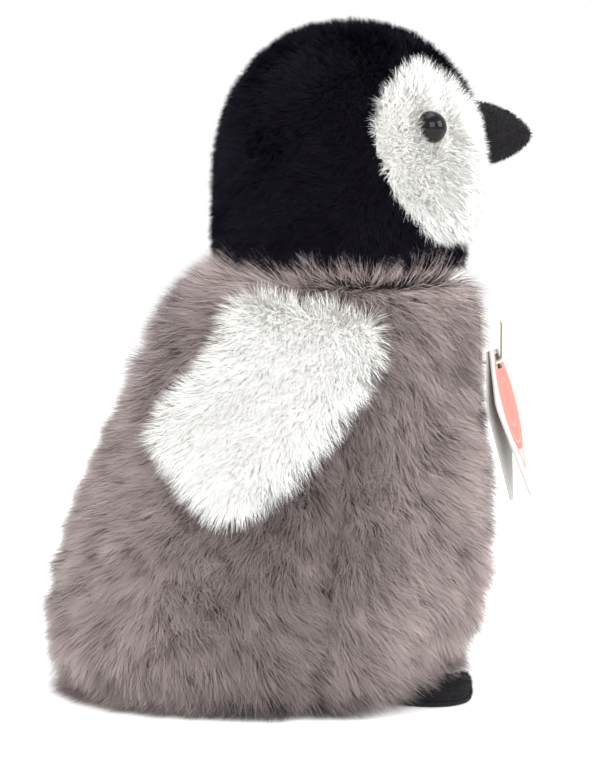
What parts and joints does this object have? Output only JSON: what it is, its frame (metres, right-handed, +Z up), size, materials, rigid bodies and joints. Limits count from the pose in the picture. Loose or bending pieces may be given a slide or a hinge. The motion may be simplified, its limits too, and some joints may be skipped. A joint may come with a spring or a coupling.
{
  "type": "plush penguin",
  "caption": "Sitting plush penguin chick with a black head, white face patches, grey long-pile body, white flippers that lift, velour beak and feet, and a folded swing tag.",
  "frame": {"origin": "on the floor, midway between the back of the rump and the foremost point, which is the swing tag, in the plane of symmetry", "axes": "+Z up, the beak points along -Y, the left flipper is on the +X side"},
  "size_m": [0.1172, 0.1542, 0.209],
  "materials": {
    "grey_plush": "long soft pile",
    "black_plush": "short dense pile",
    "white_plush": "medium soft pile",
    "black_velour": "velour",
    "eye_plastic": "polished",
    "washer_plastic": "moulded",
    "fibre_filling": "loose polyester fibre",
    "pouch_cloth": "woven cotton",
    "loop_ribbon": "woven ribbon",
    "tag_card": "coated card"
  },
  "bodies": {
    "plush_body": {"base_panel": "grey_plush", "belly_panel": "grey_plush", "body_side_left": "grey_plush", "body_side_right": "grey_plush", "pellet_pouch": "pouch_cloth", "body_stuffing": "fibre_filling", "head_crown": "black_plush", "chin": "black_plush", "cheek_left": "black_plush", "cheek_right": "black_plush", "head_back_left": "black_plush", "head_back_right": "black_plush", "face_left": "white_plush", "face_right": "white_plush", "head_stuffing": "fibre_filling", "beak_cover": "black_velour", "beak_stuffing": "fibre_filling", "eye_left": "eye_plastic", "eye_right": "eye_plastic", "eye_washer_left": "washer_plastic", "eye_washer_right": "washer_plastic", "tag_loop": "loop_ribbon"},
    "flipper_left": {"flipper_left_outer": "white_plush", "flipper_left_lining": "white_plush", "flipper_left_wadding": "fibre_filling"},
    "flipper_right": {"flipper_right_outer": "white_plush", "flipper_right_lining": "white_plush", "flipper_right_wadding": "fibre_filling"},
    "foot_left": {"foot_left_upper": "black_velour", "foot_left_sole": "black_velour", "foot_left_stuffing": "fibre_filling"},
    "foot_right": {"foot_right_upper": "black_velour", "foot_right_sole": "black_velour", "foot_right_stuffing": "fibre_filling"},
    "tag_back": {"tag_back_leaf": "tag_card"},
    "tag_front": {"tag_front_leaf": "tag_card"}
  },
  "joints": [
    {"name": "flipper_left_lift", "type": "hinge", "parent": "plush_body", "child": "flipper_left", "pos_m": [0.0404, -0.00388, 0.128], "axis": [0, -1, 0], "range_deg": [0, 70]},
    {"name": "flipper_right_lift", "type": "hinge", "parent": "plush_body", "child": "flipper_right", "pos_m": [-0.0404, -0.00388, 0.128], "axis": [0, 1, 0], "range_deg": [0, 70]},
    {"name": "foot_left_swing", "type": "hinge", "parent": "plush_body", "child": "foot_left", "pos_m": [0.023, -0.02388, 0], "axis": [0, 0, 1], "range_deg": [-8, 10]},
    {"name": "foot_right_swing", "type": "hinge", "parent": "plush_body", "child": "foot_right", "pos_m": [-0.023, -0.02388, 0], "axis": [0, 0, -1], "range_deg": [-8, 10]},
    {"name": "tag_swing", "type": "hinge", "parent": "plush_body", "child": "tag_back", "pos_m": [-0.0002, -0.06441, 0.10124], "axis": [-0.9272, 0.3746, 0], "range_deg": [0, 16]},
    {"name": "tag_open", "type": "hinge", "parent": "tag_back", "child": "tag_front", "pos_m": [0, -0.06392, 0.105], "axis": [-0.9272, 0.3746, 0], "range_deg": [0, 40]}
  ]
}
